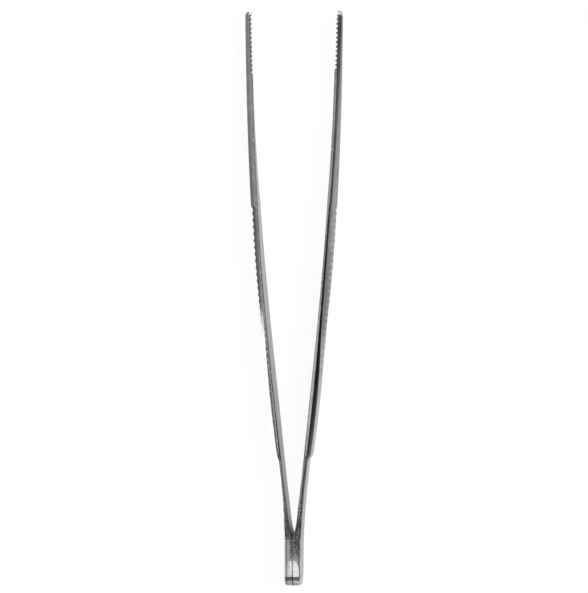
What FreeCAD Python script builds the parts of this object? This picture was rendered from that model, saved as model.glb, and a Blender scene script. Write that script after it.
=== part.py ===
import FreeCAD, Part
import math
import os

# Thumb forceps of two spring arms, welded face to face at the heel.
# The part lies on the lower edges of its grips: X across the spread, +Y towards the tips, Z up.
# The origin is on the surface it lies on, under the middle of its length and spread.
# Lengths are in millimetres and angles in degrees.

# Stretches of the arm, in turn from the heel to the tips
weld_length = 12.0
root_length = 2.5
thin_length = 6.0
spring_length = 11.1
step_length = 1.4
smooth_length = 20.2
turn_length = 12.0
lower_rib_length = 15.1
upper_rib_length = 15.2
shoulder_length = 0.6
taper_length = 15.9
blade_length = 17.9
jaw_length = 15.1

# Width of the arm from its lower edge to its upper edge, where those stretches end
heel_width = 8.2
spring_width = 8.6
step_width = 9.2
grip_width = 10.6
rib_width = 10.2
shoulder_width = 8.2
blade_width = 5.0
jaw_width = 3.2
tip_width = 2.4

# How much the grip is left over its width before its lower and upper edges are ground flat
grinding_allowance = 0.2

# Half of the gap between the two inner faces
root_gap = 0.7
thin_gap = 1.5
spring_gap = 2.78
step_gap = 2.94
smooth_gap = 5.12
turn_gap = 6.37
rib_gap = 7.78
grip_gap = 8.85
blade_gap = 9.84
jaw_gap = 10.5
tip_gap = 10.86

# Thickness of the arm at its lower and upper edges
heel_end_edge = 2.04
heel_edge = 2.15
root_edge = 1.6
thin_edge = 1.25
spring_edge = 1.1
step_edge = 1.7
grip_edge = 1.72
turn_edge = 1.1
rib_edge = 0.88
shoulder_edge = 1.1
jaw_edge = 1.1
tip_edge = 1.05

# How far the crowned outer face stands out past those edges, halfway up the arm
spring_crown = 0.05
step_crown = 0.16
grip_crown = 0.24
turn_crown = 0.8
rib_crown = 1.15
shoulder_crown = 1.0
blade_crown = 0.76
jaw_crown = 0.62
tip_crown = 0.52

# Bevels along the corners of the arm
inner_bevel = 0.14
step_inner_bevel = 0.28
heel_bevel = 0.34
spring_bevel = 0.55
step_bevel = 0.95
grip_bevel = 0.9
turn_bevel = 0.5
outer_bevel = 0.4

# How far the arm leans inwards at its upper edge, for each millimetre above mid-width
grip_lean = 0.006
turn_lean = 0.01
rib_lean = 0.018
shoulder_lean = 0.03
taper_lean = 0.06
jaw_lean = 0.09
tip_lean = 0.11

# Heel: barrelled edges, each ground off to a shallow facet and broken twice at the end
heel_barrel = 0.2
facet_length = 6.5
facet_angle = 2.4
chamfer_length = 2.5
chamfer_angle = 20.0
end_bevel_length = 1.45
end_bevel_angle = 52.0
heel_corner_round = 0.6

# Cross ribs on the outside of the grip, left between round flutes. Towards the heel the flutes get
# shallower. Each flute is deeper at its upper end, by its lean for each millimetre of height.
flute_count = 24
flute_pitch = 1.704
flute_depth = 0.42
last_flute_depth = 0.24
flute_radius = 1.15
flute_lean = 0.1
last_flute_lean = 0.03
flute_margin = 0.9

# Jaws: square grooves across the inner faces, half a pitch apart on the two arms
groove_count = 13
groove_pitch = 1.156
groove_depth = 0.54
groove_margin = 0.65
groove_clearance = 0.5
tip_round = 1.15
tip_corner_round = 0.95

# Where the stretches end, measured from the heel end
root_end = weld_length + root_length
thin_end = root_end + thin_length
spring_end = thin_end + spring_length
step_end = spring_end + step_length
smooth_end = step_end + smooth_length
turn_end = smooth_end + turn_length
lower_rib_end = turn_end + lower_rib_length
grip_end = lower_rib_end + upper_rib_length
shoulder_end = grip_end + shoulder_length
taper_end = shoulder_end + taper_length
blade_end = taper_end + blade_length
overall_length = blade_end + jaw_length

# Curves along the arm are cubic, and cutters reach this far past the part
skin_degree = 3
clear_of_part = 5.0
spread_limit = tip_gap + tip_edge + tip_crown + clear_of_part

across = FreeCAD.Vector(1, 0, 0)
forwards = FreeCAD.Vector(0, 1, 0)
up = FreeCAD.Vector(0, 0, 1)


def at(x, along, height=0.0):
    """The point x to the right, this far from the heel end and this far above mid-width."""
    return FreeCAD.Vector(x, along - overall_length / 2, height + grip_width / 2)


def section(along, gap, width, edge, crown, bevel, lean=0.0, inner=inner_bevel, barrel=0.0):
    """Outline of the right arm at one place: flat inside, crowned outside, bevelled corners."""
    half_width = width / 2
    crown_width = half_width - bevel

    def leaning(depth, height):
        return at(gap + depth - lean * height, along, height)

    def on_edge(side, depth):
        return leaning(depth, side * (half_width - barrel * (depth / edge) ** 2))

    def half_outline(side):
        inside = leaning(0, side * (half_width - inner))
        start = on_edge(side, inner)
        middle = on_edge(side, (inner + edge - bevel) / 2)
        end = on_edge(side, edge - bevel)
        outside = leaning(edge, side * crown_width)
        edge_curve = Part.Arc(start, middle, end) if barrel else Part.LineSegment(start, end)
        curves = [Part.LineSegment(inside, start), edge_curve, Part.LineSegment(end, outside)]
        return inside, outside, curves

    low_inside, low_outside, low_curves = half_outline(-1)
    high_inside, high_outside, high_curves = half_outline(1)
    inner_line = Part.LineSegment(low_inside, high_inside)
    crown_arc = Part.Arc(high_outside, leaning(edge + crown, 0), low_outside)
    curves = [inner_line] + high_curves + [crown_arc] + low_curves
    return Part.Wire(Part.__sortEdges__([curve.toShape() for curve in curves]))


def skin(*outlines, ruled=False):
    """A solid over outlines that follow one another along the arm."""
    return Part.makeLoft(list(outlines), True, ruled, False, skin_degree)


def prism(corners, sweep):
    """A straight-sided outline, swept along a vector."""
    return Part.Face(Part.makePolygon(corners + corners[:1])).extrude(sweep)


def corner_cutter(corner, first, second, radius, sweep):
    """What a rounding takes off a corner. First and second point from it into the part."""
    start = corner + first * radius
    middle = corner + (first + second) * radius * (1 - math.sqrt(0.5))
    end = corner + second * radius
    beside_start = start - second * clear_of_part
    outer = corner - (first + second) * clear_of_part
    beside_end = end - first * clear_of_part
    edges = [Part.Arc(start, middle, end).toShape()]
    around = [end, beside_end, outer, beside_start, start]
    for line_start, line_end in zip(around, around[1:]):
        edges.append(Part.LineSegment(line_start, line_end).toShape())
    return Part.Face(Part.Wire(edges)).extrude(sweep)


def reach_at(blank, along):
    """The arm's inner and outer face, halfway up its width, at one place."""
    probe = Part.makeLine(at(-clear_of_part, along), at(spread_limit, along))
    box = blank.common(probe).BoundBox
    return box.XMin, box.XMax


def heel():
    """The welded stretch, with its facets and its broken end."""
    end = section(0, 0, heel_width, heel_end_edge, spring_crown, heel_bevel, barrel=heel_barrel)
    top = section(weld_length, 0, heel_width, heel_edge, spring_crown, heel_bevel, barrel=heel_barrel)
    block = skin(end, top, ruled=True)
    cutters = []
    for side in (-1, 1):
        along = facet_length
        height = heel_width / 2
        profile = [(along, height + clear_of_part), (along, height)]
        slopes = [
            (chamfer_length, facet_angle),
            (end_bevel_length, chamfer_angle),
            (-end_bevel_length, end_bevel_angle),
        ]
        for next_along, angle in slopes:
            height -= math.tan(math.radians(angle)) * (along - next_along)
            along = next_along
            profile.append((along, height))
        profile.append((along, heel_width / 2 + clear_of_part))
        corners = [at(-clear_of_part, place, side * level) for place, level in profile]
        cutters.append(prism(corners, across * (2 * clear_of_part)))
    outer_corner = at(heel_end_edge + spring_crown, 0, -heel_width)
    cutters.append(corner_cutter(
        outer_corner, forwards, across * -1, heel_corner_round, up * 2 * heel_width
    ))
    return block.cut(cutters)


def step_section():
    """The section at the top of the step, where the grip begins."""
    return section(step_end, step_gap, step_width, step_edge, step_crown, step_bevel, inner=step_inner_bevel)


def spring():
    """The thin stretch that bends, and the step from it up to the grip."""
    weld = section(weld_length, 0, heel_width, heel_edge, spring_crown, heel_bevel, barrel=heel_barrel)
    root = section(root_end, root_gap, heel_width, root_edge, spring_crown, heel_bevel)
    thin = section(thin_end, thin_gap, heel_width, thin_edge, spring_crown, spring_bevel)
    end = section(spring_end, spring_gap, spring_width, spring_edge, spring_crown, spring_bevel)
    return [skin(weld, root, thin, end), skin(end, step_section(), ruled=True)]


def shoulder_section():
    """The section at the top of the shoulder, where the blade begins."""
    return section(
        shoulder_end, grip_gap, shoulder_width, shoulder_edge, shoulder_crown, outer_bevel, shoulder_lean
    )


def grip():
    """The grip, ground flat along its lower and upper edges, up to its shoulder."""
    full_width = grip_width + grinding_allowance
    smooth = section(smooth_end, smooth_gap, full_width, grip_edge, grip_crown, grip_bevel, grip_lean)
    turn = section(turn_end, turn_gap, full_width, turn_edge, turn_crown, turn_bevel, turn_lean)
    ribs = section(lower_rib_end, rib_gap, rib_width, rib_edge, rib_crown, outer_bevel, rib_lean)
    end = section(grip_end, grip_gap, shoulder_width, rib_edge, rib_crown, outer_bevel, shoulder_lean)
    low_corner = at(-clear_of_part, -clear_of_part, -grip_width / 2)
    ground = Part.makeBox(
        spread_limit + clear_of_part, overall_length + 2 * clear_of_part, grip_width, low_corner
    )
    body = skin(step_section(), smooth, turn, ribs, end).common(ground)
    return [body, skin(end, shoulder_section(), ruled=True)]


def blade():
    """The slender blade and its jaw, rounded at the tip."""
    taper = section(taper_end, blade_gap, blade_width, shoulder_edge, blade_crown, outer_bevel, taper_lean)
    jaw = section(blade_end, jaw_gap, jaw_width, jaw_edge, jaw_crown, outer_bevel, jaw_lean)
    tip = section(overall_length, tip_gap, tip_width, tip_edge, tip_crown, outer_bevel, tip_lean)
    through = across * spread_limit
    cutters = [
        corner_cutter(
            at(0, overall_length, side * tip_width / 2), forwards * -1, up * -side, tip_round, through
        )
        for side in (-1, 1)
    ]
    tip_corner = at(tip_gap + tip_edge + tip_crown, overall_length, -tip_width)
    cutters.append(corner_cutter(
        tip_corner, forwards * -1, across * -1, tip_corner_round, up * 2 * tip_width
    ))
    return skin(shoulder_section(), taper, jaw, tip).cut(cutters)


def flutes(blank):
    """Round cutters that leave the cross ribs standing on the outside of the grip."""
    cutters = []
    for number in range(flute_count):
        share = number / (flute_count - 1)
        depth = flute_depth + share * (last_flute_depth - flute_depth)
        lean = flute_lean + share * (last_flute_lean - flute_lean)
        along = grip_end - flute_margin - number * flute_pitch
        crest = reach_at(blank, along)[1]
        foot = at(crest - depth + flute_radius + lean * grip_width, along, -grip_width)
        axis = up - across * lean
        cutters.append(Part.makeCylinder(flute_radius, 2 * grip_width, foot, axis))
    return cutters


def grooves(blank, shift):
    """Square cutters that leave the teeth standing on the inside of the jaw."""
    cutters = []
    wide = groove_depth + groove_clearance
    for number in range(groove_count):
        along = overall_length - groove_margin - shift - number * groove_pitch
        face = reach_at(blank, along)[0]
        cutters.append(prism([
            at(face + groove_depth, along, -grip_width),
            at(face + groove_depth - wide, along + wide, -grip_width),
            at(face + groove_depth - wide, along - wide, -grip_width),
        ], up * 2 * grip_width))
    return cutters


def arm(blank, groove_shift):
    """One arm with its ribs and its jaw teeth cut."""
    return blank.cut(flutes(blank) + grooves(blank, groove_shift)).Solids[0]


os.makedirs("parts", exist_ok=True)
blank = heel().fuse(spring() + grip() + [blade()]).Solids[0]
right_arm = arm(blank, 0)
left_arm = arm(blank, groove_pitch / 2).mirror(FreeCAD.Vector(0, 0, 0), across)
right_arm.exportStep("parts/right_arm.step")
left_arm.exportStep("parts/left_arm.step")
for name, shape in (("right arm", right_arm), ("left arm", left_arm)):
    box = shape.BoundBox
    print(name, "solids", len(shape.Solids), "valid", shape.isValid(), "volume", round(shape.Volume, 1))
    print("  low", [round(value, 2) for value in (box.XMin, box.YMin, box.ZMin)])
    print("  high", [round(value, 2) for value in (box.XMax, box.YMax, box.ZMax)])
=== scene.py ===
# %% [markdown]
# Thumb forceps, dressed for a picture
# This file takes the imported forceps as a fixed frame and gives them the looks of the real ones: two
# arms of ground stainless steel, with cross ribs where the fingers hold them, teeth in the jaws and a
# weld at the heel. It is written as a lesson. Each step first says what the piece or finish is on
# the real thing, how it could be made in Blender, and why this way was taken.

import math
from types import SimpleNamespace

import bmesh
import bpy
import numpy as np
from mathutils import Matrix, Vector

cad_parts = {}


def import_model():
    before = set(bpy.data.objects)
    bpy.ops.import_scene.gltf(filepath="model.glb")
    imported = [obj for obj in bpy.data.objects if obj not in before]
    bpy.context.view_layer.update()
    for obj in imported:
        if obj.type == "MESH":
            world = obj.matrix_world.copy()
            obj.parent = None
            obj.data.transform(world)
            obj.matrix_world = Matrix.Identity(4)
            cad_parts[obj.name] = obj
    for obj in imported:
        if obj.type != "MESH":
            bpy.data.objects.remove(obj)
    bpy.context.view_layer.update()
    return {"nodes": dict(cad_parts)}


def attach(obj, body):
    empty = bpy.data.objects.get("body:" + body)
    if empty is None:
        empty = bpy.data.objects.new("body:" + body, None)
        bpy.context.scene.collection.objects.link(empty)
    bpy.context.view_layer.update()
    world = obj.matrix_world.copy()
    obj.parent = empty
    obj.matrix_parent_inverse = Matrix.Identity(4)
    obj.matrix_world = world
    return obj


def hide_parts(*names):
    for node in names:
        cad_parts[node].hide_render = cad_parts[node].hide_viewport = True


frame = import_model()
print("nodes", sorted(frame["nodes"]))

# %% [markdown]
# The camera
# The picture is taken from nearly straight above, a little from the right, so that it shows a strip of
# the right arm's outside and of the left arm's inside. Blender's long side of the sensor is the
# picture's height, so the lens follows from the camera's distance and from how much of the table the
# picture's height covers. Up in the picture is +Y. A camera can be turned by angles, but a rotation
# made from the three axes is easier to read and has no doubtful order of turns.

# %% Camera
MM = 0.001
FRAME_HEIGHT = 149.95 * MM
CAMERA_DISTANCE = 470 * MM
CAMERA_TILT = math.radians(5.9)
AIM = Vector((0.0, 0.32 * MM, 5.3 * MM))


def make_camera():
    """A camera that looks down at the aim, tilted towards +X, with +Y up in the picture."""
    camera = bpy.data.objects.new("camera", bpy.data.cameras.new("camera"))
    bpy.context.scene.collection.objects.link(camera)
    back = Vector((math.sin(CAMERA_TILT), 0.0, math.cos(CAMERA_TILT)))
    camera.location = AIM + back * CAMERA_DISTANCE
    camera.rotation_mode = "QUATERNION"
    up = Vector((0.0, 1.0, 0.0))
    camera.rotation_quaternion = Matrix((up.cross(back), up, back)).transposed().to_quaternion()
    camera.data.lens = camera.data.sensor_width * CAMERA_DISTANCE / FRAME_HEIGHT
    camera.data.clip_start = 10 * MM
    bpy.context.scene.camera = camera
    return camera


camera = make_camera()
print("lens, mm", round(camera.data.lens, 1))

# %% [markdown]
# The sizes of an arm
# An arm is one strip of steel whose section changes along its length, so it is described by stations.
# Each station gives the section there: the gap from the middle plane to the flat inner face, the width
# from the lower to the upper edge, the thickness at those edges, how far the crowned outer face stands
# out past them, how wide its outer and inner corners are bevelled, and how far the arm leans inwards
# for each millimetre of height. The numbers are millimetres, as on a drawing, and `along` counts from
# the end of the heel. Between the stations the sizes run on smooth curves, as in the frame's solids. The
# grip is forged a little too wide and then ground back to the full width, which leaves its edges straight.

# %% Stations
LENGTH = 145.0
FULL_WIDTH = 10.6
GRINDING_ALLOWANCE = 0.2


def station(along, gap, width, edge, crown, bevel, inner=0.14, lean=0.0):
    """The sizes of the section at one place."""
    return dict(
        along=along, gap=gap, width=width, edge=edge, crown=crown, bevel=bevel, inner=inner, lean=lean
    )


HEEL_END = station(0.0, 0.0, 8.2, 2.04, 0.05, 0.34)
HEEL_TOP = station(12.0, 0.0, 8.2, 2.15, 0.05, 0.34)
SPRING_TOP = station(31.6, 2.78, 8.6, 1.1, 0.05, 0.55)
STEP_TOP = station(33.0, 2.94, 9.2, 1.7, 0.16, 0.95, inner=0.28)
GRIP_TOP = station(95.5, 8.85, 8.2, 0.88, 1.15, 0.4, lean=0.03)
SHOULDER_TOP = station(96.1, 8.85, 8.2, 1.1, 1.0, 0.4, lean=0.03)
UNGROUND = FULL_WIDTH + GRINDING_ALLOWANCE

STRETCHES = {
    "heel": [HEEL_END, HEEL_TOP],
    "spring": [
        HEEL_TOP,
        station(14.5, 0.7, 8.2, 1.6, 0.05, 0.34),
        station(20.5, 1.5, 8.2, 1.25, 0.05, 0.55),
        SPRING_TOP,
    ],
    "step": [SPRING_TOP, station(32.2, 2.85, 8.85, 1.41, 0.11, 0.74, inner=0.21), STEP_TOP],
    "grip": [
        STEP_TOP,
        station(53.2, 5.12, UNGROUND, 1.72, 0.24, 0.9, lean=0.006),
        station(65.2, 6.37, UNGROUND, 1.1, 0.8, 0.5, lean=0.01),
        station(80.3, 7.78, 10.2, 0.88, 1.15, 0.4, lean=0.018),
        GRIP_TOP,
    ],
    "shoulder": [GRIP_TOP, SHOULDER_TOP],
    "blade": [
        SHOULDER_TOP,
        station(112.0, 9.84, 5.0, 1.1, 0.76, 0.4, lean=0.06),
        station(129.9, 10.5, 3.2, 1.1, 0.62, 0.4, lean=0.09),
        station(145.0, 10.86, 2.4, 1.05, 0.515, 0.4, lean=0.11),
    ],
}
print("stretches", ", ".join(STRETCHES), "up to", LENGTH, "mm")

# %% [markdown]
# Smooth curves through the stations
# A straight blend between stations would leave a kink at each, and polished metal shows every kink as a
# break in its reflections. A cubic curve that passes through the stations with an even slope has none.
# The slope at each station comes from its neighbours.

# %% Sizes at any place
SIZE_NAMES = ("gap", "width", "edge", "crown", "bevel", "inner", "lean")


def smooth_value(places, values, where):
    """Cubic curve through the values at the places, read at each number in where."""
    places, values = np.array(places, float), np.array(values, float)
    slopes = np.gradient(values, places, edge_order=min(2, len(places) - 1))
    index = np.clip(np.searchsorted(places, where, side="right") - 1, 0, len(places) - 2)
    span = places[index + 1] - places[index]
    t = (where - places[index]) / span
    start = (1 + 2 * t) * (1 - t) ** 2 * values[index] + t * (1 - t) ** 2 * span * slopes[index]
    end = t**2 * (3 - 2 * t) * values[index + 1] + t**2 * (t - 1) * span * slopes[index + 1]
    return start + end


def sizes_at(along):
    """The sizes of the section at each place along the arm."""
    along = np.asarray(along, float)
    sizes = {name: np.zeros(len(along)) for name in SIZE_NAMES}
    for stations in STRETCHES.values():
        places = [s["along"] for s in stations]
        inside = (along >= places[0]) & (along <= places[-1])
        for name, column in sizes.items():
            column[inside] = smooth_value(places, [s[name] for s in stations], along[inside])
    sizes["width"] = np.minimum(sizes["width"], FULL_WIDTH)
    return sizes


sample = sizes_at([60.0])
print("at 60 mm:", {name: round(float(value[0]), 2) for name, value in sample.items()})

# %% [markdown]
# The heel and the tip
# At the heel the edges are barrelled from rolling, and a shallow facet is ground off each of them, which
# leaves an arch where plane and barrel meet. Its end is broken by a chamfer and a steeper bevel. The
# tip is rounded to a blunt nose. Both are limits on the section: the heel's faces are planes, so its
# edge height is cut off at the plane, and the nose is scaled down smoothly.

# %% Limits at the two ends
HEEL_BARREL = 0.2
BARREL_POWER = 3.5
FACET_LENGTH = 6.5
FACET_SLOPE = math.tan(math.radians(2.4))
END_CHAMFER_LENGTH = 2.5
END_CHAMFER_SLOPE = math.tan(math.radians(20.0))
END_BEVEL_LENGTH = 1.45
END_BEVEL_SLOPE = math.tan(math.radians(52.0))
HEEL_CORNER = 0.6
TIP_ROUND = 1.15
TIP_CORNER = 0.95


def round_drop(distance, radius):
    """How far a rounding of this radius has fallen at this distance from the end it rounds."""
    inside = np.clip(radius - distance, 0.0, radius)
    return radius - np.sqrt(radius**2 - inside**2)


def edge_limit(along, half_width):
    """Height at which the heel's facet, chamfer and end bevel cut its edges."""
    facet = np.maximum(FACET_LENGTH - along, 0.0) * FACET_SLOPE
    chamfer = np.maximum(END_CHAMFER_LENGTH - along, 0.0) * END_CHAMFER_SLOPE
    bevel = np.maximum(END_BEVEL_LENGTH - along, 0.0) * (END_BEVEL_SLOPE - END_CHAMFER_SLOPE)
    return half_width - facet - chamfer - bevel


print("edge height at the end of the heel, mm", round(float(edge_limit(0.0, 4.1)), 2))

# %% [markdown]
# The section of an arm
# A section is half an outline, from the middle of the inner face, over the upper edge, to the middle of
# the crown, and its mirror image below. Corners that are broken by a grinding belt are never sharp, so
# each corner of the outline becomes a short curve, on the outside longer where the bevel is wide. All
# sections have the same number of points, which lets neighbouring ones be joined by quads.

# %% Outline of a section
INNER_POINTS = 6
CORNER_POINTS = 4
EDGE_POINTS = 8
CROWN_POINTS = 22
INNER_SOFTNESS = 0.05
OUTER_SOFTNESS = 0.25


def softened(before, corner, after, size):
    """Points on a short curve that replaces a corner between two directions."""
    towards_before = (before - corner) / np.linalg.norm(before - corner)
    towards_after = (after - corner) / np.linalg.norm(after - corner)
    start, end = corner + towards_before * size, corner + towards_after * size
    t = np.linspace(0.0, 1.0, CORNER_POINTS)[:, None]
    return (1 - t) ** 2 * start + 2 * t * (1 - t) * corner + t**2 * end


def half_outline(along, edge, crown, bevel, inner, half_width):
    """Depth from the inner face and height above mid-width, from the inner face round to the crown."""
    barrel = HEEL_BARREL if along < STRETCHES["heel"][-1]["along"] else 0.0
    limit = edge_limit(along, half_width)

    def top(depth):
        return np.minimum(half_width - barrel * (depth / edge) ** BARREL_POWER, limit)

    softness = OUTER_SOFTNESS * bevel
    depths = np.linspace(inner + INNER_SOFTNESS, edge - bevel - softness, EDGE_POINTS)
    crown_height = top(edge) - bevel
    inner_low = np.array((0.0, top(0.0) - inner))
    inner_high = np.array((inner, top(inner)))
    outer_high = np.array((edge - bevel, top(edge - bevel)))
    outer_low = np.array((edge, crown_height))
    crown_heights = np.linspace(crown_height - softness, 0.0, CROWN_POINTS)
    crown_depths = edge + crown * (1 - (crown_heights / crown_height) ** 2)
    crown_line = np.column_stack([crown_depths, crown_heights])
    edge_line = np.column_stack([depths, top(depths)])
    inner_line = np.column_stack([
        np.zeros(INNER_POINTS), np.linspace(0.0, inner_low[1] - INNER_SOFTNESS, INNER_POINTS)
    ])
    return np.vstack([
        inner_line[:-1],
        softened(inner_line[0], inner_low, inner_high, INNER_SOFTNESS),
        softened(inner_low, inner_high, edge_line[1], INNER_SOFTNESS)[:-1],
        edge_line[:-1],
        softened(edge_line[-2], outer_high, outer_low, softness),
        softened(outer_high, outer_low, crown_line[1], softness)[:-1],
        crown_line,
    ])


def ring(along, gap, width, edge, crown, bevel, inner, lean):
    """A whole section as points in millimetres, at the arm's own place."""
    half = half_outline(along, edge, crown, bevel, inner, width / 2)
    depth, height = half[:, 0], half[:, 1]
    total = edge + crown
    depth = depth * (1 - round_drop(along, HEEL_CORNER) / total)
    depth = depth * (1 - round_drop(LENGTH - along, TIP_CORNER) / total)
    height = height * (1 - round_drop(LENGTH - along, TIP_ROUND) / (width / 2))
    depth = np.concatenate([depth, depth[-2:0:-1]])
    height = np.concatenate([height, -height[-2:0:-1]])
    place = np.full(len(depth), along - LENGTH / 2)
    return np.column_stack([gap + depth - lean * height, place, FULL_WIDTH / 2 + height])


ring_points = len(ring(60.0, 5.8, FULL_WIDTH, 1.1, 0.6, 0.5, 0.14, 0.0))
print("points in a section", ring_points)

# %% [markdown]
# Where the sections go
# Sections stand close together only where the form needs them: at the heel, the step and the tip, and
# across each flute and each jaw groove. Elsewhere they are half a millimetre apart. A section on each
# crest and at the bottom of each groove keeps those lines sharp.

# %% Places of the sections
FLUTE_COUNT = 24
FLUTE_PITCH = 1.704
FLUTE_DEPTH = 0.42
LAST_FLUTE_DEPTH = 0.24
FLUTE_RADIUS = 1.15
FLUTE_LEAN = 0.1
LAST_FLUTE_LEAN = 0.03
FIRST_FLUTE = 94.6
GROOVE_COUNT = 13
GROOVE_PITCH = 1.156
GROOVE_DEPTH = 0.54
FIRST_GROOVE = 144.35
COARSE_STEP = 0.5
FINE_STEP = 0.12
SMALLEST_STEP = 0.02
PAST_A_BREAK = 1.0
SECTIONS_PER_FLUTE = 10
SECTIONS_PER_GROOVE = 5


def section_places(groove_shift):
    """Where the sections of one arm stand, counted from the end of the heel."""
    half_flute = FLUTE_PITCH / 2
    first_groove = FIRST_GROOVE - groove_shift
    flutes = FIRST_FLUTE - FLUTE_PITCH * np.arange(FLUTE_COUNT)
    grooves = first_groove - GROOVE_PITCH * np.arange(GROOVE_COUNT)
    across_flute = np.linspace(-half_flute, half_flute, SECTIONS_PER_FLUTE)
    across_groove = np.linspace(-GROOVE_DEPTH, GROOVE_DEPTH, SECTIONS_PER_GROOVE)
    stations = [s["along"] for stretch in STRETCHES.values() for s in stretch]
    ribbed = (flutes[-1] - half_flute, flutes[0] + half_flute)
    toothed = (grooves[-1] - GROOVE_DEPTH, grooves[0] + GROOVE_DEPTH)
    heel = np.arange(0.0, HEEL_TOP["along"] + PAST_A_BREAK, FINE_STEP)
    step = np.arange(SPRING_TOP["along"] - 3 * FINE_STEP, STEP_TOP["along"] + PAST_A_BREAK, FINE_STEP)
    nose = np.arange(LENGTH - TIP_ROUND, LENGTH + FINE_STEP / 2, FINE_STEP / 2)
    plain = np.arange(heel[-1], LENGTH, COARSE_STEP)
    plain = plain[(plain < ribbed[0]) | ((plain > ribbed[1]) & (plain < toothed[0]))]
    ends = [END_BEVEL_LENGTH, END_CHAMFER_LENGTH, FACET_LENGTH]
    every = np.concatenate([
        heel, step, plain, nose[nose <= LENGTH], stations, ends,
        (flutes[:, None] + across_flute).ravel(), (grooves[:, None] + across_groove).ravel(),
    ])
    every = np.unique(np.round(every[(every >= 0.0) & (every <= LENGTH)], 4))
    return every[np.append(True, np.diff(every) > SMALLEST_STEP)]


print("sections on an arm", len(section_places(0.0)))

# %% [markdown]
# The blank of an arm
# The blank is what the forge and the grinder leave: the strip with its crown and bevels, before the ribs
# and teeth are cut. The sections are joined by quads and closed at both ends. Each point also keeps what
# the next steps need to know about its place: how far out the crest and the inner face are there, which
# of the section's faces and corners it lies on, and whether it lies on the heel's polished facet.

# %% Mesh of the blank
FACET_BORDER = 0.01
ON_THE_PLANE = 0.002


def zone(first, last):
    """1 for the points of a section between two numbers of its half outline, and 0 for the others."""
    half = np.zeros(ring_points // 2 + 1)
    half[first:last] = 1.0
    return np.concatenate([half, half[-2:0:-1]])


INNER_CORNER = INNER_POINTS - 1
OUTER_CORNER = INNER_CORNER + 2 * CORNER_POINTS + EDGE_POINTS - 2
ZONES = {
    "inside": zone(0, INNER_CORNER + 2),
    "inner_corner": zone(INNER_CORNER + 1, INNER_CORNER + CORNER_POINTS + 2),
    "ground": zone(INNER_CORNER + CORNER_POINTS, OUTER_CORNER + 2),
    "rim": zone(OUTER_CORNER - 1, OUTER_CORNER + 2),
    "shelf": zone(OUTER_CORNER + 1, OUTER_CORNER + 3),
    "bevel": zone(OUTER_CORNER + 2, OUTER_CORNER + CORNER_POINTS + 2),
}


def arm_blank(name, groove_shift):
    """The right arm before its ribs and teeth are cut, as an object in metres."""
    places = section_places(groove_shift)
    sizes = sizes_at(places)
    rings = [ring(along, *values) for along, *values in zip(places, *sizes.values())]
    points = np.vstack(rings) * MM
    count = len(places)
    around = np.arange(ring_points)
    quads = []
    for number in range(count - 1):
        here, there = number * ring_points + around, (number + 1) * ring_points + around
        quads.extend(np.column_stack([here, there, np.roll(there, -1), np.roll(here, -1)]).tolist())
    last = (count - 1) * ring_points
    caps = [around.tolist(), (last + around[::-1]).tolist()]
    mesh = bpy.data.meshes.new(name)
    mesh.from_pydata(points.tolist(), [], quads + caps)
    heights = np.abs(np.vstack(rings)[:, 2] - FULL_WIDTH / 2)
    far = np.repeat(places, ring_points)
    at_limit = heights > edge_limit(far, HEEL_TOP["width"] / 2) - ON_THE_PLANE
    in_facet = (far > END_CHAMFER_LENGTH + FACET_BORDER) & (far < FACET_LENGTH - FACET_BORDER)
    notes = {
        "crest": np.repeat(sizes["gap"] + sizes["edge"] + sizes["crown"], ring_points) * MM,
        "face": np.repeat(sizes["gap"], ring_points) * MM,
        "facet": at_limit & in_facet,
    }
    notes.update((title, np.tile(share, count)) for title, share in ZONES.items())
    for title, values in notes.items():
        attribute = mesh.attributes.new(title, "FLOAT", "POINT")
        attribute.data.foreach_set("value", values.astype(np.float32))
    blank = bpy.data.objects.new(name, mesh)
    bpy.context.scene.collection.objects.link(blank)
    return blank


print("zones of a section", ", ".join(ZONES))

# %% [markdown]
# Small helpers for node trees
# Shaders and Geometry Nodes are built from the same kind of node, so three helpers serve both: one adds a
# node and sets its inputs, where an input is a number or another node's output, one does arithmetic, and
# one mixes two numbers.

# %% Node helpers


def add(tree, kind, inputs=None, **settings):
    """A new node with its settings and its inputs, each a value or an output of another node."""
    node = tree.nodes.new(kind)
    for name, value in settings.items():
        setattr(node, name, value)
    for key, value in (inputs or {}).items():
        if isinstance(value, bpy.types.NodeSocket):
            tree.links.new(value, node.inputs[key])
        else:
            node.inputs[key].default_value = value
    return node


def calc(tree, operation, *values):
    """The output of a Math node that works on numbers or outputs."""
    return add(tree, "ShaderNodeMath", dict(enumerate(values)), operation=operation).outputs[0]


def blend(tree, share, first, second):
    """Two numbers mixed by a share."""
    return add(tree, "ShaderNodeMix", {0: share, 2: first, 3: second}, data_type="FLOAT").outputs[0]


print("node helpers", ", ".join(helper.__name__ for helper in (add, calc, blend)))

# %% [markdown]
# Ribs and teeth by Geometry Nodes
# The cross ribs are what round flutes leave standing on the crown, and the teeth are what right-angled
# grooves leave standing in the jaw. Both repeat at an even pitch, so one tree cuts all of them. It finds
# each point's nearest cutter, works out how deep that cutter reaches there, and moves the point no
# further than that. The flutes are deepest near the blade and at the upper edge, so their depth changes
# down the row and with height. A Boolean with many cutters would do it too, but leaves long thin faces
# that shine unevenly, while this keeps the even quads of the blank. Every size is a named input of the
# tree. The tree also notes on each point how far it was cut, for the finish.

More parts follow.
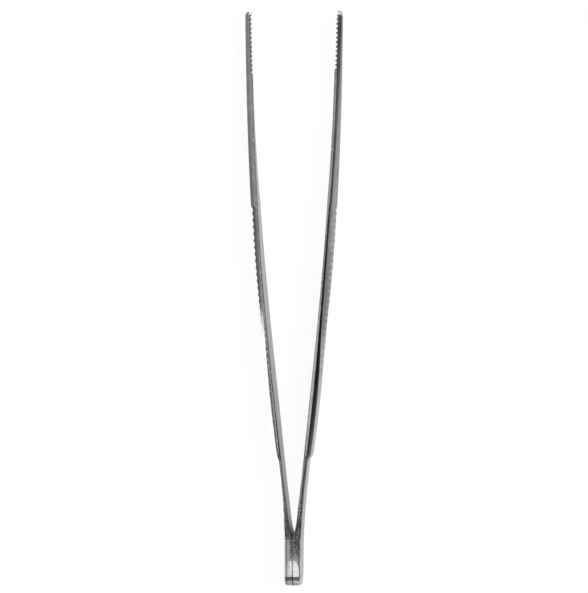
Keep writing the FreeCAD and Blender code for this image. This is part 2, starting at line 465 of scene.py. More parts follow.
# %% Tree that cuts ribs and teeth
TREE_INPUTS = {
    "First flute": (FIRST_FLUTE - LENGTH / 2) * MM,
    "Flute pitch": FLUTE_PITCH * MM,
    "Flute count": FLUTE_COUNT,
    "Flute depth": FLUTE_DEPTH * MM,
    "Last flute depth": LAST_FLUTE_DEPTH * MM,
    "Flute radius": FLUTE_RADIUS * MM,
    "Flute lean": FLUTE_LEAN,
    "Last flute lean": LAST_FLUTE_LEAN,
    "Mid-height": FULL_WIDTH / 2 * MM,
    "First groove": (FIRST_GROOVE - LENGTH / 2) * MM,
    "Groove pitch": GROOVE_PITCH * MM,
    "Groove count": GROOVE_COUNT,
    "Groove depth": GROOVE_DEPTH * MM,
}


def nearest_cutter(tree, y, first, pitch, count):
    """How far along the arm a row's nearest cutter is, and its share of the way down the row."""
    last = calc(tree, "SUBTRACT", count, 1.0)
    number = calc(tree, "ROUND", calc(tree, "DIVIDE", calc(tree, "SUBTRACT", first, y), pitch))
    number = calc(tree, "MINIMUM", calc(tree, "MAXIMUM", number, 0.0), last)
    centre = calc(tree, "SUBTRACT", first, calc(tree, "MULTIPLY", number, pitch))
    return calc(tree, "ABSOLUTE", calc(tree, "SUBTRACT", y, centre)), calc(tree, "DIVIDE", number, last)


def cutting_tree():
    """The node tree that cuts an arm's flutes and grooves and gives it its material."""
    tree = bpy.data.node_groups.new("cut ribs and teeth", "GeometryNodeTree")
    tree.interface.new_socket("Geometry", in_out="INPUT", socket_type="NodeSocketGeometry")
    for name in TREE_INPUTS:
        tree.interface.new_socket(name, in_out="INPUT", socket_type="NodeSocketFloat")
    tree.interface.new_socket("Material", in_out="INPUT", socket_type="NodeSocketMaterial")
    tree.interface.new_socket("Geometry", in_out="OUTPUT", socket_type="NodeSocketGeometry")
    given = tree.nodes.new("NodeGroupInput").outputs
    position = tree.nodes.new("GeometryNodeInputPosition").outputs[0]
    x, y, z = add(tree, "ShaderNodeSeparateXYZ", {0: position}).outputs
    crest = add(tree, "GeometryNodeInputNamedAttribute", {"Name": "crest"}, data_type="FLOAT").outputs[0]
    face = add(tree, "GeometryNodeInputNamedAttribute", {"Name": "face"}, data_type="FLOAT").outputs[0]

    near_flute, down_the_row = nearest_cutter(
        tree, y, given["First flute"], given["Flute pitch"], given["Flute count"]
    )
    depth_there = blend(tree, down_the_row, given["Flute depth"], given["Last flute depth"])
    lean_there = blend(tree, down_the_row, given["Flute lean"], given["Last flute lean"])
    radius_squared = calc(tree, "MULTIPLY", given["Flute radius"], given["Flute radius"])
    reach_squared = calc(tree, "SUBTRACT", radius_squared, calc(tree, "MULTIPLY", near_flute, near_flute))
    reach = calc(tree, "SQRT", calc(tree, "MAXIMUM", reach_squared, 0.0))
    height = calc(tree, "SUBTRACT", z, given["Mid-height"])
    flute_depth = calc(tree, "ADD", depth_there, calc(tree, "MULTIPLY", height, lean_there))
    middle = calc(tree, "ADD", calc(tree, "SUBTRACT", crest, flute_depth), given["Flute radius"])
    fluted = calc(tree, "MINIMUM", x, calc(tree, "SUBTRACT", middle, reach))

    near_groove = nearest_cutter(
        tree, y, given["First groove"], given["Groove pitch"], given["Groove count"]
    )[0]
    bottom = calc(tree, "SUBTRACT", calc(tree, "ADD", face, given["Groove depth"]), near_groove)
    toothed = calc(tree, "MAXIMUM", fluted, bottom)

    in_flute = calc(tree, "DIVIDE", calc(tree, "SUBTRACT", x, fluted), given["Flute depth"])
    in_groove = calc(tree, "DIVIDE", calc(tree, "SUBTRACT", toothed, fluted), given["Groove depth"])
    off_flute = calc(tree, "DIVIDE", near_flute, given["Flute pitch"])
    from_face = calc(tree, "DIVIDE", calc(tree, "SUBTRACT", toothed, face), given["Groove depth"])
    noted = given["Geometry"]
    cuts = {"in_flute": in_flute, "in_groove": in_groove, "off_flute": off_flute, "from_face": from_face}
    for title, value in cuts.items():
        note = {"Geometry": noted, "Name": title, "Value": value}
        noted = add(
            tree, "GeometryNodeStoreNamedAttribute", note, data_type="FLOAT", domain="POINT"
        ).outputs[0]
    moved = add(tree, "ShaderNodeCombineXYZ", {"X": toothed, "Y": y, "Z": z}).outputs[0]
    cut = add(tree, "GeometryNodeSetPosition", {"Geometry": noted, "Position": moved})
    whole = add(tree, "GeometryNodeRealizeInstances", {"Geometry": cut.outputs[0]})
    done = add(
        tree, "GeometryNodeSetMaterial", {"Geometry": whole.outputs[0], "Material": given["Material"]}
    )
    add(tree, "NodeGroupOutput", {"Geometry": done.outputs[0]})
    return tree


ribs_and_teeth = cutting_tree()
print("tree inputs", ", ".join(TREE_INPUTS))

# %% [markdown]
# Values that change from place to place
# A finish is told by numbers that change over a piece. These helpers make them: a value moved from one
# range to another, a product, a number that follows stops, a tone changed where a mask is 1, and noise.
# Noise on stretched coordinates gives lines, and on even ones specks. Coordinates are the object's own,
# in millimetres, so every pattern stays in place on its piece.

# %% Helpers for patterns


def ranged(tree, value, low, high, to_low=0.0, to_high=1.0, kind="SMOOTHSTEP"):
    """A value moved from one range to another."""
    return add(tree, "ShaderNodeMapRange", {0: value, 1: low, 2: high, 3: to_low, 4: to_high},
               interpolation_type=kind).outputs[0]


def after(tree, value, span):
    """0 before a span of values, 1 after it and a soft change within."""
    return ranged(tree, value, *span)


def before(tree, value, span):
    """1 before a span of values, 0 after it and a soft change within."""
    return ranged(tree, value, *span, 1.0, 0.0)


def opposite(tree, share):
    """1 where a share is 0, and 0 where it is 1."""
    return calc(tree, "SUBTRACT", 1.0, share)


def product(tree, *values):
    """Several numbers multiplied."""
    result = values[0]
    for value in values[1:]:
        result = calc(tree, "MULTIPLY", result, value)
    return result


def toned(tree, tone, share, factor):
    """A tone multiplied by a factor where a share is 1, and left as it is where the share is 0."""
    return calc(tree, "MULTIPLY", tone, blend(tree, share, 1.0, factor))


def ramp(tree, value, low, high, stops):
    """A number that changes with a value: stops are pairs of a value between low and high and a number."""
    share = ranged(tree, value, low, high, kind="LINEAR")
    node = add(tree, "ShaderNodeValToRGB", {0: share})
    elements = node.color_ramp.elements
    while len(elements) < len(stops):
        elements.new(1.0)
    for element, (place, number) in zip(elements, stops):
        element.position = (place - low) / (high - low)
        element.color = (number, number, number, 1.0)
    return node.outputs[0]


def in_millimetres(tree):
    """The object's own coordinates in millimetres, as one vector and as x, y and z."""
    own = tree.nodes.new("ShaderNodeTexCoord").outputs["Object"]
    place = add(tree, "ShaderNodeVectorMath", {0: own, 1: (1 / MM,) * 3}, operation="MULTIPLY").outputs[0]
    return place, *add(tree, "ShaderNodeSeparateXYZ", {0: place}).outputs


def noise(tree, place, waves, detail):
    """Noise with its own number of waves per millimetre in x, y and z."""
    stretched = add(tree, "ShaderNodeVectorMath", {0: place, 1: waves}, operation="MULTIPLY").outputs[0]
    return add(tree, "ShaderNodeTexNoise", {"Vector": stretched, "Scale": 1.0, "Detail": detail}).outputs[0]


print("pattern helpers", ", ".join(
    helper.__name__
    for helper in (ranged, after, before, opposite, product, toned, ramp, in_millimetres, noise)
))

# %% [markdown]
# Painted reflections along the arms
# As an arm bends away under it, each of its faces shows another part of the room, so its tone changes
# along the arm. The cards and the table further down give the main lights and darks. What they leave is
# painted here into the colour of the steel, face by face and for each arm, as painted reflections and
# painted shade. A table of painted tones is a row of places along the arm, in millimetres from its
# middle, each with a tone. There 0.5 stands for the plain steel, because a colour ramp holds nothing
# above 1 and some places are brighter than the plain steel.

# %% Tables of painted tones
HALF_LENGTH = LENGTH / 2
PLAIN_TONE = 0.5
# Painted reflections and painted shade on each arm's edges, bevels, corners and crown, as places along the
# arm with a tone each.
EDGE_PAINTED_REFLECTIONS = {
    "left": [(-72, 0.56), (-56, 0.56), (-40, 0.45), (-30, 0.41), (-14, 0.42), (-6, 0.5), (0, 0.55),
             (22.7, 0.5), (23.2, 0.36), (23.7, 0.5), (40, 0.5), (70.9, 0.5), (71.6, 1.0)],
    "right": [(-72, 0.56), (-60, 0.5), (-38, 0.52), (-28, 0.66), (-4, 0.7), (2, 0.44), (14, 0.4),
              (22, 0.64), (30, 0.63), (38, 0.5), (56, 0.52), (66, 0.64), (71.0, 0.66), (71.3, 1.0)],
}
BEVEL_PAINTED_REFLECTIONS = {
    "left": [(-72, 0.36), (-62, 0.4), (-54, 0.5), (-2, 0.5), (4, 0.57), (12, 0.64), (20, 0.7),
             (22.5, 0.7), (24, 0.6), (38, 0.58), (50, 0.6), (72, 0.58)],
    "right": [(-72, 0.6), (-66.5, 0.6), (-65, 0.42), (-58, 0.46), (-50, 0.5), (-41, 0.38), (-34, 0.3),
              (-26, 0.2), (-18, 0.15), (-8, 0.15), (-1, 0.3), (6, 0.42), (20, 0.5), (36, 0.5),
              (44, 0.68), (71.0, 0.66), (71.3, 1.0)],
}
CORNER_PAINTED_REFLECTIONS = {
    "left": [(-72, 0.08), (-70.2, 0.2), (-69.7, 0.95), (-66, 0.95), (-64, 0.65), (-58, 0.5), (-44, 0.4),
             (-40, 0.15), (-33, 0.18), (-26, 0.5), (72, 0.5)],
    "right": [(-72, 0.08), (-70.2, 0.2), (-69.7, 0.95), (-66, 0.95), (-64, 0.65), (-58, 0.5), (36, 0.5),
              (40, 0.42), (54, 0.38), (57, 0.3), (71.0, 0.3), (71.3, 1.0)],
}
CROWN_PAINTED_REFLECTIONS = {
    "left": [(-72, 0.5), (72, 0.5)],
    "right": [(-72, 0.5), (-12, 0.5), (-7, 0.42), (-1, 0.38), (4, 0.45), (10, 0.5), (71.0, 0.5),
              (71.3, 0.9)],
}
# Painted shade and reflections on the rough weld's specks, darkest where the arms meet.
ROUGH_PAINTED_SHADE = {
    "left": [(-72, 0.56), (-64.5, 0.56), (-63, 0.36), (-60, 0.36), (-57, 0.28), (-52, 0.42),
             (-40, 0.5), (72, 0.5)],
    "right": [(-72, 0.52), (-64.5, 0.52), (-63, 0.44), (-60, 0.4), (-57, 0.24), (-52, 0.78),
              (-46, 0.76), (-40, 0.6), (72, 0.5)],
}


def painted_tone_along(tree, at, tones):
    """The painted light and shade at a point, from the tables for each arm, where 1 is plain steel."""
    left, right = (ramp(tree, at.y, -HALF_LENGTH, HALF_LENGTH, tones[side]) for side in ("left", "right"))
    return calc(tree, "DIVIDE", blend(tree, at.right, left, right), PLAIN_TONE)


print("places with a tone", sum(
    len(stops) for tones in (EDGE_PAINTED_REFLECTIONS, BEVEL_PAINTED_REFLECTIONS, CORNER_PAINTED_REFLECTIONS, CROWN_PAINTED_REFLECTIONS, ROUGH_PAINTED_SHADE)
    for stops in tones.values()
))

# %% [markdown]
# What the finish knows of a point
# Position alone doesn't tell a ground edge from the face beside it. The blank's points carry that, and so
# do the cuts' measures. Attribute nodes read them, so that one material finishes the whole arm and its
# borders lie exactly on the real ones. At the crotch and along the springs the edges were left rough, with
# an uneven border, which comes from places that noise has shifted.

# %% Places and the rough stretch
FACE_NOTES = ("ground", "rim", "shelf", "bevel", "inner_corner", "inside", "facet")
CUT_NOTES = ("in_flute", "off_flute", "in_groove", "from_face")
WOBBLE_WAVES = (0.9, 0.9, 0.9)
WOBBLE_ALONG = 5.0
WOBBLE_ACROSS = 1.5


def known_places(tree):
    """Where a point lies: its coordinates, its arm, its face and its place in the cuts."""
    place, x, y, z = in_millimetres(tree)
    at = SimpleNamespace(place=place, x=x, y=y, z=z)
    for title in FACE_NOTES + CUT_NOTES:
        setattr(at, title, add(tree, "ShaderNodeAttribute", attribute_name=title).outputs["Fac"])
    at.right = after(tree, x, (-0.1, 0.1))
    at.left = opposite(tree, at.right)
    at.sides = opposite(tree, at.ground)
    at.facet = product(tree, at.facet, at.ground)
    return at


def rough_share(tree, at):
    """1 where the edges were left rough: round the weld and, fading out, along the springs."""
    wobble = calc(tree, "SUBTRACT", noise(tree, at.place, WOBBLE_WAVES, 2.0), 0.5)
    along = calc(tree, "ADD", at.y, calc(tree, "MULTIPLY", wobble, WOBBLE_ALONG))
    across = calc(tree, "ADD", at.x, calc(tree, "MULTIPLY", wobble, WOBBLE_ACROSS))
    along_spring = ranged(tree, at.y, -55.0, -38.5, 1.0, 0.25)
    below_step = before(tree, at.y, (-38.8, -37.6))
    above_facet = after(tree, along, (-67.5, -63.0))
    right_half = after(tree, across, (-1.0, -0.2))
    above_heel = after(tree, along, (-61.6, -59.8))
    by_the_weld = product(tree, at.inside, ranged(tree, at.y, -60.0, -53.0, 0.7, 0.0))
    return product(
        tree, along_spring, below_step, above_facet, calc(tree, "MAXIMUM", right_half, above_heel),
        calc(tree, "MAXIMUM", at.ground, by_the_weld), opposite(tree, at.facet),
    )


print("notes on each point", ", ".join(FACE_NOTES + CUT_NOTES))

# %% [markdown]
# Painted light and shade on faces, ends and cuts
# Three steps paint light and shade into the tone. The first goes face by face with the tables of painted
# reflections, and paints shade on the left arm's rim and the left half of the heel's facet, and light low
# and shade high on the right arm's lower grip. The second paints a highlight on the round nose of the
# right tip and a bright band across the end of the heel. The third paints the cuts: dark crests and
# bright valleys along the left arm's outline, which make its ribs stand out against the white, softer
# ones on the right arm, and painted shade on the teeth, darker in the grooves of the jaws.

# %% Steps of the painted light and shade
# Where the painted highlight on the right tip's nose begins, in millimetres from the middle.
NOSE = (71.1, 71.5)
TEETH_START = (56.0, 58.0)
TEETH_END = (71.0, 71.3)
END_HIGHLIGHT_LOW = (-71.75, -71.65)
END_HIGHLIGHT_HIGH = (-70.5, -70.4)
LOW_RIBS_START = (-18.0, -17.0)
LOW_RIBS_END = (-9.0, -5.0)
ALL_FLUTED = 0.501


def paint_light_on_faces(tree, tone, at):
    """The tone with painted light and shade along the edges, crown, bevels and corners of each arm."""
    # Painted shade: the left half of the heel's facet is darker.
    facet_painted_shade = ranged(tree, at.x, -1.4, -0.2, 0.7, 1.0)
    edge_painted_light = blend(tree, at.facet, painted_tone_along(tree, at, EDGE_PAINTED_REFLECTIONS), facet_painted_shade)
    tone = product(tree, tone, blend(tree, at.ground, painted_tone_along(tree, at, CROWN_PAINTED_REFLECTIONS), edge_painted_light))
    tone = toned(tree, tone, at.bevel, painted_tone_along(tree, at, BEVEL_PAINTED_REFLECTIONS))
    tone = toned(tree, tone, at.inner_corner, painted_tone_along(tree, at, CORNER_PAINTED_REFLECTIONS))
    # Painted shade: a darker line along the left arm's rim, from the grip's middle towards the heel.
    tone = toned(tree, tone, product(tree, at.rim, at.left), ranged(tree, at.y, -8.0, 2.0, 0.6, 1.0))
    # Painted light and shade on the right arm's lower grip: lighter low down, darker higher up.
    low_grip_painted_shading = product(
        tree, at.right, at.sides, after(tree, at.y, (-12.0, -6.0)), before(tree, at.y, (10.0, 16.0))
    )
    return toned(tree, tone, low_grip_painted_shading, ranged(tree, at.z, 3.0, 9.0, 1.15, 0.78))


def paint_light_on_ends(tree, tone, at):
    """The tone with painted highlights on the right tip's nose and across the end of the heel."""
    # Painted highlight on the round nose of the right tip.
    tone = toned(tree, tone, product(tree, at.right, after(tree, at.y, NOSE)), 1.6)
    # Painted highlight: a bright band across the end of the heel, brighter on the right arm.
    painted_end_highlight = product(tree, after(tree, at.y, END_HIGHLIGHT_LOW), before(tree, at.y, END_HIGHLIGHT_HIGH))
    return toned(tree, tone, painted_end_highlight, blend(tree, at.right, 1.08, 1.25))


def paint_light_on_cuts(tree, tone, at):
    """The tone with painted shade and light on crests, valleys, teeth and grooves."""
    # Painted light and shade on the left arm's lower ribs: bright in the valleys, dark on the crests.
    low_ribs_painted_light = product(
        tree, at.left, at.shelf, after(tree, at.y, LOW_RIBS_START), before(tree, at.y, LOW_RIBS_END)
    )
    tone = toned(tree, tone, low_ribs_painted_light, ranged(tree, at.off_flute, 0.18, 0.34, 3.0, 0.6))
    # Painted shade on the left arm's upper crests, and painted highlights in the valleys of both arms.
    crest_painted_shade = blend(tree, at.right, ranged(tree, at.y, -8.0, 0.0, 1.1, 0.62), 1.0)
    valley_painted_highlight = blend(tree, at.right, 2.2, 1.35)
    by_a_flute = calc(tree, "LESS_THAN", at.off_flute, ALL_FLUTED)
    fluted = product(tree, at.sides, opposite(tree, at.inside), by_a_flute)
    tone = toned(tree, tone, fluted, ranged(tree, at.in_flute, 0.05, 0.6, crest_painted_shade, valley_painted_highlight))
    # Painted shade in the grooves of the jaws.
    tone = product(tree, tone, ranged(tree, at.in_groove, 0.0, 0.4, 1.0, 0.3))
    # Painted shade on the teeth of the jaws, darker on the right arm.
    teeth = product(
        tree, before(tree, at.from_face, (0.7, 1.0)), after(tree, at.y, TEETH_START),
        before(tree, at.y, TEETH_END),
    )
    return toned(tree, tone, teeth, blend(tree, at.right, 0.75, 0.4))


print("the nose begins at", NOSE[0], "mm and the teeth at", TEETH_START[0], "mm from the middle")

# %% [markdown]
# The steel
# Surgical steel is brushed along the arms on a belt, which leaves fine lengthwise lines, and its narrow
# edges are ground across, which leaves them coarser; the small glints on them are painted highlights. A
# flat grey metal would look like plastic, so the grain is built from stretched noise that drives tone,
# roughness and bump. The facet at the heel is polished. Where the arms part, the weld is left rough, dark
# and speckled, and its specks are dimmed and brightened along the arm by painted shade and reflections.

# %% Material
STEEL = (0.5, 0.5, 0.5)
ROUGH_STEEL = (0.125, 0.124, 0.12)
EDGE_TINT = (0.62, 0.62, 0.62, 1.0)
LENGTHWISE_LINES = (7.0, 0.35, 7.0)
CROSSWISE_LINES = (0.9, 7.5, 2.0)
BLOTCHES = (0.6, 0.35, 0.6)
SPECKLES = (5.6, 5.6, 5.6)
# Painted glints: waves per millimetre and width of the painted highlights on the ground edges.
PAINTED_GLINT_WAVES = (2.6, 3.2, 2.6)
PAINTED_GLINT_WIDTH = 0.04
FACET_ROUGHNESS = 0.14
WELD_ROUGHNESS = 0.36
BUMP_HEIGHT = 0.02 * MM
SPECK_BUMPS = 7.0
NOSE_FALL = (71.3, LENGTH / 2)
NOSE_BUMPS = 92.0


def scaled(tree, colour, amount):
    """A colour multiplied by a number."""
    return add(tree, "ShaderNodeVectorMath", {0: colour, "Scale": amount}, operation="SCALE").outputs[0]


def steel_colour(tree, at, grain, speckle, rough):
    """Plain steel by its tone with painted glints, light and shade, and specks where it is rough."""
    tone = ranged(tree, noise(tree, at.place, BLOTCHES, 2.0), 0.35, 0.65, 0.9, 1.06)
    tone = product(tree, tone, ranged(tree, grain, 0.25, 0.75, 0.9, 1.1, "LINEAR"))
    # Painted highlights: sparse glints on the ground edges above the springs, brightest at the inner
    # corners.
    level = blend(tree, at.inner_corner, 0.64, 0.6)
    glints = ranged(tree, noise(tree, at.place, PAINTED_GLINT_WAVES, 1.0), level, calc(tree, "ADD", level, PAINTED_GLINT_WIDTH))
    glints = product(tree, glints, at.ground, after(tree, at.y, (-42.0, -36.0)))
    tone = calc(tree, "ADD", tone, product(tree, glints, blend(tree, at.inner_corner, 3.0, 5.0)))
    for step in (paint_light_on_faces, paint_light_on_ends, paint_light_on_cuts):
        tone = step(tree, tone, at)
    # The rough weld's specks, dimmed and brightened along the arm by the table of painted shade and
    # reflections.
    specks = product(
        tree, ranged(tree, speckle, 0.46, 0.56, 0.2, 5.0), painted_tone_along(tree, at, ROUGH_PAINTED_SHADE),
        blend(tree, at.inner_corner, 1.0, 2.5),
    )
    colours = {0: rough, 6: scaled(tree, STEEL, tone), 7: scaled(tree, ROUGH_STEEL, specks)}
    return add(tree, "ShaderNodeMix", colours, data_type="RGBA").outputs[2]


def steel_roughness(tree, at, grain, rough):
    """Roughness that follows the grain, higher in the cuts and low on the facet."""
    roughness = ranged(tree, grain, 0.3, 0.7, 0.26, 0.38, "LINEAR")
    roughness = calc(tree, "ADD", roughness, product(tree, at.in_flute, 0.08))
    roughness = calc(tree, "ADD", roughness, product(tree, at.in_groove, 0.15))
    roughness = blend(tree, at.facet, roughness, FACET_ROUGHNESS)
    return blend(tree, rough, roughness, WELD_ROUGHNESS)


def steel_normal(tree, at, grain, speckle, rough):
    """Small bumps from the grain and the specks, and the fall of the right tip's nose."""
    nose = product(tree, at.right, ranged(tree, at.y, *NOSE_FALL, 0.0, -NOSE_BUMPS, "LINEAR"))
    height = calc(tree, "ADD", grain, product(tree, speckle, rough, SPECK_BUMPS))
    bumps = {"Height": calc(tree, "ADD", height, nose), "Strength": 0.5, "Distance": BUMP_HEIGHT}
    return add(tree, "ShaderNodeBump", bumps).outputs[0]


def steel_material():
    """Brushed stainless steel with ground edges, a polished facet and a rough weld."""
    material = bpy.data.materials.new("brushed_steel")
    material.use_nodes = True
    tree = material.node_tree
    shader = tree.nodes["Principled BSDF"]
    shader.inputs["Metallic"].default_value = 1.0
    shader.inputs["Specular Tint"].default_value = EDGE_TINT
    at = known_places(tree)
    lengthwise = noise(tree, at.place, LENGTHWISE_LINES, 4.0)
    crosswise = noise(tree, at.place, CROSSWISE_LINES, 4.0)
    grain = blend(tree, at.ground, lengthwise, crosswise)
    speckle = noise(tree, at.place, SPECKLES, 3.0)
    rough = rough_share(tree, at)
    tree.links.new(steel_colour(tree, at, grain, speckle, rough), shader.inputs["Base Color"])
    tree.links.new(steel_roughness(tree, at, grain, rough), shader.inputs["Roughness"])
    tree.links.new(steel_normal(tree, at, grain, speckle, rough), shader.inputs["Normal"])
    return material


steel = steel_material()
print("steel nodes", len(steel.node_tree.nodes))

# %% [markdown]
# The two arms
# Each arm is cut by the tree and turned into a plain mesh. The left arm is the same strip, mirrored, with
# its jaw grooves half a pitch nearer the heel, so that the teeth of one jaw close into the grooves of the
# other. A mirrored mesh is inside out, so its faces are turned round again. Points that the cutters have
# pushed together are merged, and edges sharper than a limit stay crisp in the shading.

# %% Build the arms
MERGE_DISTANCE = 0.004 * MM
CRISP_ANGLE = math.radians(32.0)


def cut_arm(name, groove_shift, mirrored):
    """One finished arm, standing for its solid in the frame."""
    blank = arm_blank(name + "_blank", groove_shift)
    modifier = blank.modifiers.new("cut", "NODES")
    modifier.node_group = ribs_and_teeth
    inputs = dict(TREE_INPUTS, **{"First groove": TREE_INPUTS["First groove"] - groove_shift * MM})
    for socket in ribs_and_teeth.interface.items_tree:
        if socket.in_out == "INPUT" and socket.name in inputs:
            modifier[socket.identifier] = float(inputs[socket.name])
        if socket.name == "Material":
            modifier[socket.identifier] = steel
    evaluated = blank.evaluated_get(bpy.context.evaluated_depsgraph_get())
    mesh = bpy.data.meshes.new_from_object(evaluated)
    mesh.name = name
    bpy.data.objects.remove(blank)
    if mirrored:
        mesh.transform(((-1, 0, 0, 0), (0, 1, 0, 0), (0, 0, 1, 0), (0, 0, 0, 1)))
        mesh.flip_normals()
    merge_close_points(mesh)
    mesh.shade_smooth()
    mesh.set_sharp_from_angle(angle=CRISP_ANGLE)
    arm = bpy.data.objects.new(name, mesh)
    bpy.context.scene.collection.objects.link(arm)
    return arm


def merge_close_points(mesh):
    """Merges points that lie on one another, and drops faces that this leaves without an area."""
    work = bmesh.new()
    work.from_mesh(mesh)
    bmesh.ops.remove_doubles(work, verts=work.verts, dist=MERGE_DISTANCE)
    bmesh.ops.dissolve_degenerate(work, edges=work.edges, dist=MERGE_DISTANCE)
    bmesh.ops.recalc_face_normals(work, faces=work.faces)
    work.to_mesh(mesh)
    work.free()


for node, shift, mirrored in (("right_arm", 0.0, False), ("left_arm", GROOVE_PITCH / 2, True)):
    arm = cut_arm(node + "_finished", shift, mirrored)
    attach(arm, "root")
    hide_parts(node)
    print(arm.name, "faces", len(arm.data.polygons), "points", len(arm.data.vertices))

# %% [markdown]
# The table
# The forceps lie on a plain white table. A lit white surface comes out near white, and the share of it
# that Light Path makes white for the camera takes it the rest of the way. The part that stays lit keeps
# a faint shadow. The metal sees the table by its own levels: lighter between the arms, dark beside the
# left arm from the grip to the tip and bright beside it further down, where the wide bevel then runs
# into the white of the table, and dark far out on the right, which draws the line along that arm. A row
# of levels is written like a table of tones, as places along the table with a level each.

# %% Floor
FLOOR_HALF = 2.0
FLOOR_DROP = 0.03 * MM
TABLE_WHITE = (0.92, 0.92, 0.92, 1.0)
WHITE_FOR_CAMERA = 0.955
SPREAD_SLOPE = 0.073
MIDDLE_SPREAD = 7.1
TABLE_ENDS = (-100.0, 80.0)
LEFT_NEAR = [(-60, 0.45), (-50, 1.0), (-8, 1.0), (-2, 0.16), (35, 0.16), (55, 0.25)]
LEFT_NEAR_LIGHT = 2.2
LEFT_FAR = [(-15, 1.0), (-9, 0.1)]
LEFT_FAR_LIGHT = 3.5
RIGHT_FAR = [(-100, 1.0), (-60, 1.0), (-52, 0.03), (20, 0.03), (50, 0.55), (80, 0.55)]
BEHIND_HEEL = 0.72


def seen_by_metal(tree):
    """Level of the table in reflections: between the arms, left and right of them and behind the heel."""
    x, y = in_millimetres(tree)[1:3]
    spread = calc(tree, "ADD", calc(tree, "MULTIPLY", y, SPREAD_SLOPE), MIDDLE_SPREAD)
    beside = calc(tree, "ADD", x, spread)
    beyond = calc(tree, "SUBTRACT", x, spread)
    between = ranged(tree, y, -45.0, 25.0, 0.88, 1.2)
    left_near = calc(tree, "MULTIPLY", ramp(tree, y, *TABLE_ENDS, LEFT_NEAR), LEFT_NEAR_LIGHT)
    left_far = calc(tree, "MULTIPLY", ramp(tree, y, *TABLE_ENDS, LEFT_FAR), LEFT_FAR_LIGHT)
    left = blend(tree, before(tree, beside, (-26.0, -14.0)), left_near, left_far)
    right_near = ranged(tree, y, -30.0, -6.0, 1.25, 0.8)
    right_far = ramp(tree, y, *TABLE_ENDS, RIGHT_FAR)
    right = blend(tree, after(tree, beyond, (6.0, 44.0)), right_near, right_far)
    level = blend(tree, before(tree, beside, (-1.0, 0.6)), between, left)
    level = blend(tree, after(tree, beyond, (-0.6, 1.0)), level, right)
    return blend(tree, before(tree, y, (-90.0, -76.0)), level, BEHIND_HEEL)


def make_floor():
    """A plain white floor under the forceps."""
    mesh = bpy.data.meshes.new("floor")
    corners = [(x, y, -FLOOR_DROP) for x, y in ((-1, -1), (1, -1), (1, 1), (-1, 1))]
    mesh.from_pydata([(x * FLOOR_HALF, y * FLOOR_HALF, z) for x, y, z in corners], [], [(0, 1, 2, 3)])
    material = bpy.data.materials.new("white_table")
    material.use_nodes = True
    tree = material.node_tree
    tree.nodes.clear()
    path = tree.nodes.new("ShaderNodeLightPath").outputs
    reflected = calc(tree, "MAXIMUM", path["Is Glossy Ray"], path["Is Transmission Ray"])
    for_camera = calc(tree, "MULTIPLY", path["Is Camera Ray"], WHITE_FOR_CAMERA)
    white = calc(tree, "MAXIMUM", for_camera, reflected)
    level = blend(tree, reflected, 1.0, seen_by_metal(tree))
    matt = add(tree, "ShaderNodeBsdfDiffuse", {"Color": TABLE_WHITE})
    glow = add(tree, "ShaderNodeEmission", {"Color": (1.0, 1.0, 1.0, 1.0), "Strength": level})
    mixed = add(tree, "ShaderNodeMixShader", {0: white, 1: matt.outputs[0], 2: glow.outputs[0]})
    add(tree, "ShaderNodeOutputMaterial", {"Surface": mixed.outputs[0]})
    mesh.materials.append(material)
    floor = bpy.data.objects.new("floor", mesh)
    bpy.context.scene.collection.objects.link(floor)
    return floor


floor = make_floor()
print("floor", floor.name, "half side, m", FLOOR_HALF)

# %% [markdown]
# The room that the steel reflects
# Polished metal has no colour of its own to show: it shows the room. A photographer sets cards and dark
# cloths round such a piece. Here the world does that. Each card covers a range of angles off the
# vertical, sideways and lengthways, has a level of light and a soft border. Dark cards on the right
# draw the dark lines along the arms' bevels, and a small bright one lights the facet at the heel.

# %% World
ROOM_LEVEL = 0.43
CARDS = [
    dict(name="left wall", sideways=(-100, -35), lengthways=(-100, 100), level=0.36, soft=14),
    dict(name="dark cloth on the right", sideways=(22, 100), lengthways=(-100, 100), level=0.03, soft=8),
    dict(name="bright wall past the tips", sideways=(-70, 60), lengthways=(34, 100), level=1.15, soft=8),
    dict(name="dark cloth at the heel", sideways=(-60, 60), lengthways=(-62, -22), level=0.13, soft=4),
    dict(name="lamp over the heel", sideways=(-22, 12), lengthways=(-18, -10.5), level=1.9, soft=1.5),
]


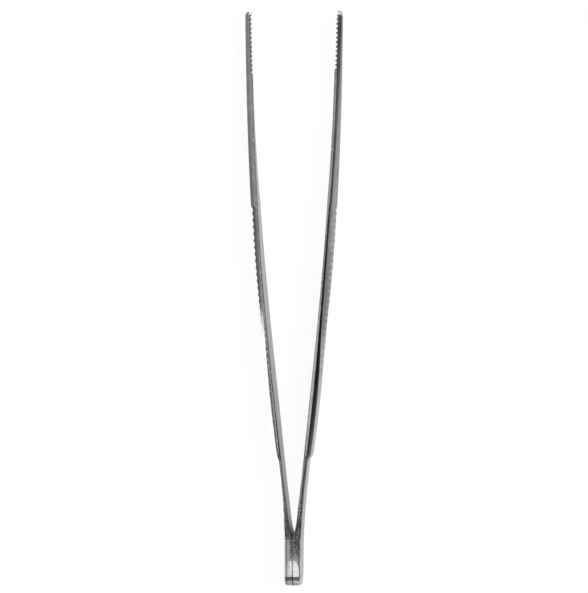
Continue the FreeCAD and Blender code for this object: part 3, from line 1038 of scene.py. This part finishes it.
def window(tree, angle, limits, soft):
    """1 between two angles and 0 outside, with a soft border."""
    low, high = limits
    rising = ranged(tree, angle, low - soft, low + soft)
    falling = ranged(tree, angle, high - soft, high + soft, 1.0, 0.0)
    return calc(tree, "MULTIPLY", rising, falling)


def make_world():
    """A room of cards round the table, white where the camera sees past the floor."""
    world = bpy.data.worlds.new("room")
    world.use_nodes = True
    bpy.context.scene.world = world
    tree = world.node_tree
    tree.nodes.clear()
    direction = tree.nodes.new("ShaderNodeTexCoord").outputs["Generated"]
    x, y, z = add(tree, "ShaderNodeSeparateXYZ", {0: direction}).outputs
    sideways = calc(tree, "DEGREES", calc(tree, "ARCTAN2", x, z))
    lengthways = calc(tree, "DEGREES", calc(tree, "ARCTAN2", y, z))
    level = ROOM_LEVEL
    for card in CARDS:
        share = calc(tree, "MULTIPLY", window(tree, sideways, card["sideways"], card["soft"]),
                     window(tree, lengthways, card["lengthways"], card["soft"]))
        level = blend(tree, share, level, card["level"])
    camera_ray = tree.nodes.new("ShaderNodeLightPath").outputs["Is Camera Ray"]
    level = blend(tree, camera_ray, level, 1.0)
    background = add(tree, "ShaderNodeBackground", {"Color": (1.0, 1.0, 1.0, 1.0), "Strength": level})
    add(tree, "ShaderNodeOutputWorld", {"Surface": background.outputs[0]})
    return world


make_world()
print("cards", ", ".join(card["name"] for card in CARDS))

# %% [markdown]
# The lamp
# One soft lamp above and to the right lights the table and draws the faint shadow on its left. The steel
# doesn't reflect it, because the cards already are what the steel shows.

# %% Lamp


def make_lamp(name, place, size, watts):
    """A square soft lamp that faces the forceps."""
    data = bpy.data.lights.new(name, "AREA")
    data.shape = "SQUARE"
    data.size = size
    data.energy = watts
    lamp = bpy.data.objects.new(name, data)
    bpy.context.scene.collection.objects.link(lamp)
    lamp.location = place
    lamp.rotation_mode = "QUATERNION"
    lamp.rotation_quaternion = Vector(place).to_track_quat("Z", "Y")
    lamp.visible_glossy = False
    return lamp


make_lamp("soft_lamp", place=(0.5, 0.1, 0.8), size=0.35, watts=9.0)

# %% [markdown]
# The end
# The Standard view shows colours as they are written, with no film look over them.

bpy.context.scene.view_settings.view_transform = "Standard"
